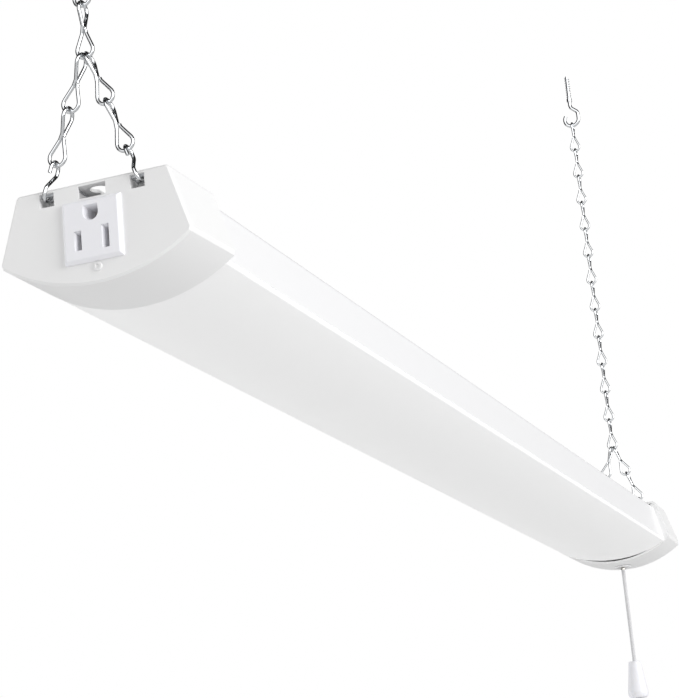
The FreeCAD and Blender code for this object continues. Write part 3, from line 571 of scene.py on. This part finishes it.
# %% Bend one link
WIRE, PLAY, LINK_PITCH = 1.6, 0.1, 24.0
LOOP_RADIUS, WAIST, WAIST_HEIGHT, TAIL_HEIGHT = 3.7, 0.95, 1.5, 0.5
LINK_HEIGHT = LINK_PITCH + WIRE + PLAY
loop_centre = LINK_HEIGHT / 2 - LOOP_RADIUS
leg_reach = math.hypot(WAIST, loop_centre - WAIST_HEIGHT)
leg_touch = (-math.degrees(math.atan2(loop_centre - WAIST_HEIGHT, WAIST))
             + math.degrees(math.acos(LOOP_RADIUS / leg_reach)))
loop_path = ([(WAIST, WAIST_HEIGHT)]
             + pin_corners((0, loop_centre), LOOP_RADIUS, leg_touch, 180 - leg_touch)
             + [(-WAIST, WAIST_HEIGHT)])
upper_loop = [(u, 0, v) for u, v in loop_path]
lower_loop = [(0, -u, -v) for u, v in reversed(loop_path)]
link_path = ([(WAIST, 0, TAIL_HEIGHT)] + upper_loop + lower_loop
             + [(0, -WAIST, -TAIL_HEIGHT)])
TAIL_BEND, WAIST_BEND = 2.5, 2.0
LOOP_BENDS = (TAIL_BEND, LOOP_RADIUS, LOOP_RADIUS, WAIST_BEND)
jack_link = bmesh.new()
bend_wire(jack_link, link_path, WIRE, LOOP_BENDS + LOOP_BENDS[::-1])
print("link of", len(jack_link.faces), "faces")

# %% [markdown]
# ## The S-hook and the ceiling hook
# The S-hook's lower bend goes round the bar of the cap's notch, and its upper bend holds
# the last link. The ceiling hook is thicker wire with a wood-screw thread. The thread is
# a thin wedge spun round the shank while it climbs, so each turn joins the next.

# %% Bend one S-hook
PIVOT_DROP, PIVOT_X = 1.3, 468.3
CEILING_WIRE, MAIN_LINKS, HOOK_SPREAD, LEG_GAP = 3.0, 12, 42.0, 1.9
top_link_top = (CEILING_WIRE + WIRE) / 2 + PLAY
apex = top_link_top - LINK_HEIGHT - (MAIN_LINKS - 1) * LINK_PITCH
leg_rise = apex + WIRE + PLAY + HANG_DROP + PIVOT_DROP
leg_spread = (HOOK_SPREAD - LEG_GAP) / 2
lean = math.atan2(leg_spread, leg_rise)
hook_reach = math.hypot(leg_rise, leg_spread) - LINK_HEIGHT - LINK_PITCH
HOOK_BEND, LOWER_TIP, UPPER_TIP, SLANT_START, SLANT_BEND = 3.0, 2.6, 2.4, 2.2, 2.4
upper_pin = hook_reach + WIRE + PLAY - HOOK_BEND
hook_path = ([(HOOK_BEND, LOWER_TIP)] + pin_corners((0, 0), HOOK_BEND, 0, -180)
             + [(-HOOK_BEND, SLANT_START), (HOOK_BEND, upper_pin - SLANT_START)]
             + pin_corners((0, upper_pin), HOOK_BEND, 0, 180)
             + [(-HOOK_BEND, upper_pin - UPPER_TIP)])
s_hook = bmesh.new()
bend_wire(s_hook, [(u, 0, v) for u, v in hook_path], WIRE,
          (HOOK_BEND, HOOK_BEND, SLANT_BEND, SLANT_BEND, HOOK_BEND, HOOK_BEND))
print("S-hook reaches", round(hook_reach, 2), "mm")

# %% Bend and thread one ceiling hook
CROOK, CROOK_ANGLE, TIP_REACH, NECK_BEND, SHOULDER_BEND = 6.0, -210, 0.6, 5.0, 4.0
SHANK_TOP, SHANK_FOOT, NECK_RISE, COLLAR_HEIGHT = 46.0, 22.0, 5.0, 3.0
CORE, CREST, CORE_TAPER, RIDGE_HALF = 1.6, 2.2, 0.6, 0.7
THREAD_PITCH, THREAD_TURNS, TURN_STEPS = 2.2, 9, 20
tail_turn = math.radians(CROOK_ANGLE)
tail = (CROOK * math.cos(tail_turn) + TIP_REACH * math.sin(tail_turn),
        CROOK + CROOK * math.sin(tail_turn) - TIP_REACH * math.cos(tail_turn))
crook_path = ([(0, SHANK_FOOT + 1), (0, 2 * CROOK + NECK_RISE), (CROOK, 2 * CROOK)]
              + pin_corners((0, CROOK), CROOK, 0, CROOK_ANGLE) + [tail])
ceiling_hook = bmesh.new()
bend_wire(ceiling_hook, [(0, u, v) for u, v in crook_path], CEILING_WIRE,
          (NECK_BEND, SHOULDER_BEND, CROOK, CROOK))
shank_length = SHANK_TOP - SHANK_FOOT
bmesh.ops.create_cone(
    ceiling_hook, cap_ends=True, segments=WIRE_SIDES * 2, radius1=CREST * MM,
    radius2=CREST * MM, depth=COLLAR_HEIGHT * MM,
    matrix=Matrix.Translation((0, 0, (SHANK_FOOT + COLLAR_HEIGHT / 2) * MM)))
bmesh.ops.create_cone(
    ceiling_hook, cap_ends=True, segments=WIRE_SIDES * 2, radius1=CORE * MM,
    radius2=CORE * CORE_TAPER * MM, depth=shank_length * MM,
    matrix=Matrix.Translation((0, 0, (SHANK_FOOT + shank_length / 2) * MM)))
wedge_low = SHANK_FOOT + COLLAR_HEIGHT
wedge = [ceiling_hook.verts.new(Vector((reach, 0, wedge_low + rise)) * MM)
         for reach, rise in ((CORE * CORE_TAPER, -RIDGE_HALF), (CREST, 0),
                             (CORE * CORE_TAPER, RIDGE_HALF))]
bmesh.ops.spin(
    ceiling_hook, geom=[ceiling_hook.faces.new(wedge)], cent=(0, 0, 0), axis=(0, 0, 1),
    angle=2 * math.pi * THREAD_TURNS, steps=TURN_STEPS * THREAD_TURNS,
    dvec=(0, 0, THREAD_PITCH * MM / TURN_STEPS))
print("thread of", THREAD_TURNS, "turns")

# %% [markdown]
# ## Hang the chains
# One link is bent once and stamped down the chain at its pitch. The far chain is the
# same chain turned half way round. Each pair of legs leans inwards to the last link of
# its chain, and a leg is two links and a hook on one straight line.

# %% Helper that stamps copies
def stamped(*stamps):
    """A bmesh with a copy of a master at each placement, from (master, matrix) pairs."""
    shape = bmesh.new()
    for master, placement in stamps:
        stamp = bpy.data.meshes.new("stamp")
        master.to_mesh(stamp)
        stamp.transform(placement)
        shape.from_mesh(stamp)
        bpy.data.meshes.remove(stamp)
    return shape


# %% Hang both chains
pivot_foot = -(HANG_DROP + PIVOT_DROP)
for end, hand_x, half_turn in (("near", -1, 0.0), ("far", 1, math.pi)):
    upright = Matrix.Rotation(half_turn, 4, "Z")
    above = [Matrix.Translation(
        (hand_x * PIVOT_X * MM, 0, (top_link_top - LINK_HEIGHT / 2 - index * LINK_PITCH) * MM)
        ) @ upright for index in range(MAIN_LINKS)]
    screwed_in = Matrix.Translation((hand_x * PIVOT_X * MM, 0, 0)) @ upright
    add_piece(f"{end}_screw_hook", stamped((ceiling_hook, screwed_in)), "ceiling",
              zinc_wire, "zinc_steel", f"ceiling_hook_{end}")
    add_piece(f"{end}_top_link", stamped((jack_link, above[0])), "chain_tops",
              zinc_wire, "chain_steel", f"top_link_{end}")
    add_piece(f"{end}_links", stamped(*[(jack_link, place) for place in above[1:]]),
              f"{end}_chain", zinc_wire, "chain_steel", f"chain_{end}")
    for side, hand in (("left", 1), ("right", -1)):
        foot = (Matrix.Translation(Vector((hand_x * PIVOT_X, hand * HOOK_SPREAD / 2,
                                           pivot_foot)) * MM)
                @ Matrix.Rotation(hand * lean, 4, "X") @ upright)
        leg = [foot @ Matrix.Translation((0, 0, (hook_reach + LINK_HEIGHT / 2 + rise) * MM))
               for rise in (0, LINK_PITCH)]
        add_piece(f"{end}_leg_{side}", stamped(*[(jack_link, place) for place in leg]),
                  f"{end}_chain", zinc_wire, "chain_steel", f"chain_leg_{end}_{side}")
        add_piece(f"{end}_hook_{side}", stamped((s_hook, foot)), f"{end}_chain",
                  zinc_wire, "zinc_steel", f"s_hook_{end}_{side}")
for master in (jack_link, s_hook, ceiling_hook):
    master.free()
print("two chains of", MAIN_LINKS, "links and four legs")

# %% [markdown]
# ## The knob, its knot and the screw
# The knob is turned: half of its section is drawn once and spun round the cord. Moulded
# polypropylene has generous radii, so its foot gets a large one. Under it, in the recess,
# the cord ends in a real overhand knot, which a curve that loops through itself gives.
# The screw's head is a short cylinder with a rounded rim and a pressed-in recess.

# %% Turn the knob
knob_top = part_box("pull_knob")[1].z
KNOB_SECTION = [  # radius and depth below the top, in mm
    (1.7, 0), (4.8, 0), (8.2, 25.4), (6.8, 29), (4.5, 29), (4.5, 24), (1.7, 24)]
KNOB_STEPS, INNER_RADIUS, CORNER_ANGLE = 56, 4.7, math.radians(20)
KNOB_ROUNDING = [(-0.1, 1, 1.0), (25, 29.1, 1.5)]     # from and to below the top, radius
knob = bmesh.new()
profile = [knob.verts.new((CORD_X + radius * MM, 0, knob_top - depth * MM))
           for radius, depth in KNOB_SECTION]
outline = [knob.edges.new((vert, profile[index - 1])) for index, vert in enumerate(profile)]
bmesh.ops.spin(knob, geom=profile + outline, cent=(CORD_X, 0, 0), axis=(0, 0, 1),
               angle=2 * math.pi, steps=KNOB_STEPS, use_merge=True)
bmesh.ops.remove_doubles(knob, verts=knob.verts, dist=0.01 * MM)
for highest, lowest, radius in KNOB_ROUNDING:
    rims = [edge for edge in knob.edges if edge.calc_face_angle(0) > CORNER_ANGLE
            and all(highest * MM < knob_top - vert.co.z < lowest * MM
                    and (vert.co.xy - Vector((CORD_X, 0))).length > INNER_RADIUS * MM
                    for vert in edge.verts)]
    bmesh.ops.bevel(knob, geom=rims, offset=radius * MM, segments=5, affect="EDGES",
                    profile=0.5, material=-1, clamp_overlap=True, offset_type="OFFSET")
knob_piece = add_piece("bell_knob", knob, "cord", knob_polypropylene, "knob_plastic",
                       "pull_knob")
print("knob", len(knob_piece.data.polygons), "faces")

# %% Tie the knot
KNOT_POINTS, KNOT_SCALE, KNOT_CORD, KNOT_RISE = 36, 0.82, 2.0, 0.9
KNOT_LOOP, KNOT_WEAVE = 2, 1.4
knot_middle = sum(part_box("cord_knot"), Vector()) / 2 + Vector((0, 0, KNOT_RISE * MM))
knot_curve = bpy.data.curves.new("overhand_line", "CURVE")
knot_curve.dimensions = "3D"
knot_curve.bevel_depth = KNOT_CORD / 2 * MM
knot_curve.bevel_resolution = 4
loop = knot_curve.splines.new("NURBS")
loop.points.add(KNOT_POINTS - 1)
for index, point in enumerate(loop.points):
    turn = 2 * math.pi * index / KNOT_POINTS
    loops = Vector((math.sin(turn) + KNOT_LOOP * math.sin(2 * turn),
                    math.cos(turn) - KNOT_LOOP * math.cos(2 * turn),
                    -KNOT_WEAVE * math.sin(3 * turn)))
    point.co = (*(knot_middle + loops * KNOT_SCALE * MM), 1)
loop.order_u = 4
loop.use_cyclic_u = True
knot_form = bpy.data.objects.new("overhand_form", knot_curve)
knot_mesh = bpy.data.meshes.new_from_object(knot_form)
overhand = bmesh.new()
overhand.from_mesh(knot_mesh)
bmesh.ops.remove_doubles(overhand, verts=overhand.verts, dist=0.01 * MM)
bpy.data.objects.remove(knot_form)
bpy.data.meshes.remove(knot_mesh)
knot_piece = add_piece("overhand_knot", overhand, "cord", braid, "cord_braid", "cord_knot")
print("knot round", [round(part / MM, 1) for part in knot_middle])

# %% Drive the face screw
HEAD_RADIUS, HEAD_HEIGHT, HEAD_ROUNDING = 2.0, 0.8, 0.35
RECESS_RIM, RECESS_SLOPE, RECESS_DEPTH = 0.65, 0.15, 0.4
SHANK_RADIUS, SHANK_LENGTH = 1.2, 6.0
screw_low, screw_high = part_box("face_screw")
seat = (screw_low + screw_high) / 2
seat.x = screw_low.x + HEAD_HEIGHT * MM
facing_out = Matrix.Translation(seat) @ Matrix.Rotation(-math.pi / 2, 4, "Y")
screw = bmesh.new()
bmesh.ops.create_cone(
    screw, cap_ends=True, segments=36, radius1=HEAD_RADIUS * MM, radius2=HEAD_RADIUS * MM,
    depth=HEAD_HEIGHT * MM,
    matrix=facing_out @ Matrix.Translation((0, 0, HEAD_HEIGHT / 2 * MM)))
crown = min(screw.faces, key=lambda face: face.calc_center_median().x)
bmesh.ops.bevel(screw, geom=list(crown.edges), offset=HEAD_ROUNDING * MM, segments=3,
                affect="EDGES", profile=0.5, material=-1)
crown = min((face for face in screw.faces if len(face.verts) > 8),
            key=lambda face: face.calc_center_median().x)
bmesh.ops.inset_region(screw, faces=[crown], thickness=RECESS_RIM * MM)
bmesh.ops.inset_region(screw, faces=[crown], thickness=RECESS_SLOPE * MM,
                       depth=-RECESS_DEPTH * MM)
bmesh.ops.create_cone(
    screw, cap_ends=True, segments=24, radius1=SHANK_RADIUS * MM,
    radius2=SHANK_RADIUS * MM, depth=SHANK_LENGTH * MM,
    matrix=facing_out @ Matrix.Translation((0, 0, -SHANK_LENGTH / 2 * MM)))
add_piece("pan_screw", screw, "light", screw_paint, "screw_nickel", "face_screw")
print("screw head", 2 * HEAD_RADIUS, "mm wide")

# %% [markdown]
# ## The studio
# White on white needs light that models it: a large soft key from the right, a softer
# fill from the left and a little below, and a sky that gives the rest. The fill isn't
# mirrored, and the floor doesn't stop it. The background is plain white. Bright wire
# looks like wire only where it has something dark to mirror, so in reflections the sky
# is bright on the camera's side and dark elsewhere.

# %% Set the lights and the floor
def add_sun(name, from_direction, strength, spread, is_mirrored=True):
    """A soft sun that shines from a direction towards the origin; spread in degrees."""
    light = bpy.data.lights.new(name, "SUN")
    light.energy = strength
    light.angle = math.radians(spread)
    lamp = bpy.data.objects.new(name, light)
    lamp.matrix_world = Vector(from_direction).to_track_quat("Z", "Y").to_matrix().to_4x4()
    lamp.visible_glossy = is_mirrored
    bpy.context.scene.collection.objects.link(lamp)


add_sun("soft_key", KEY_FROM, KEY_STRENGTH, KEY_SPREAD)
add_sun("low_fill", FILL_FROM, FILL_STRENGTH, FILL_SPREAD, is_mirrored=False)

FLOOR_DROP, FLOOR_SIZE = 2.6, 24.0
floor_finish, tree, shader = new_finish("pale_floor", "F4F4F4", 0.9)
floor_shape = bmesh.new()
bmesh.ops.create_grid(floor_shape, x_segments=1, y_segments=1, size=FLOOR_SIZE / 2,
                      matrix=Matrix.Translation((0, 0, -FLOOR_DROP)))
floor_mesh = bpy.data.meshes.new("studio_floor")
floor_shape.to_mesh(floor_mesh)
floor_shape.free()
floor_mesh.materials.append(floor_finish)
floor = bpy.data.objects.new("studio_floor", floor_mesh)
bpy.context.scene.collection.objects.link(floor)
floor.visible_shadow = False

# %% Paint the sky
world = bpy.data.worlds.new("studio_sky")
bpy.context.scene.world = world
world.use_nodes = True
tree = world.node_tree
rays = add_node(tree, "ShaderNodeLightPath", {})
direction = add_node(tree, "ShaderNodeTexCoord", {})
facing = add_node(tree, "ShaderNodeVectorMath", {
    0: direction.outputs["Generated"], 1: BRIGHT_SIDE}, operation="DOT_PRODUCT")
mirrored = add_node(tree, "ShaderNodeMapRange", {
    "Value": facing.outputs["Value"], "From Min": DARK_BELOW, "From Max": BRIGHT_ABOVE,
    "To Min": MIRRORED_DARK, "To Max": MIRRORED_BRIGHT})
for_gloss = add_node(tree, "ShaderNodeMix", {
    0: rays.outputs["Is Glossy Ray"], 2: SKY_STRENGTH, 3: mirrored.outputs[0]})
straight = add_node(tree, "ShaderNodeMath", {
    0: rays.outputs["Is Camera Ray"], 1: rays.outputs["Is Transmission Ray"]},
    operation="MAXIMUM")
strength = add_node(tree, "ShaderNodeMix", {
    0: straight.outputs[0], 2: for_gloss.outputs[0], 3: 1.0})
background = tree.nodes["Background"]
background.inputs["Color"].default_value = linear("FFFFFF")
tree.links.new(strength.outputs[0], background.inputs["Strength"])
print("sky", SKY_STRENGTH, "key", KEY_STRENGTH, "fill", FILL_STRENGTH)
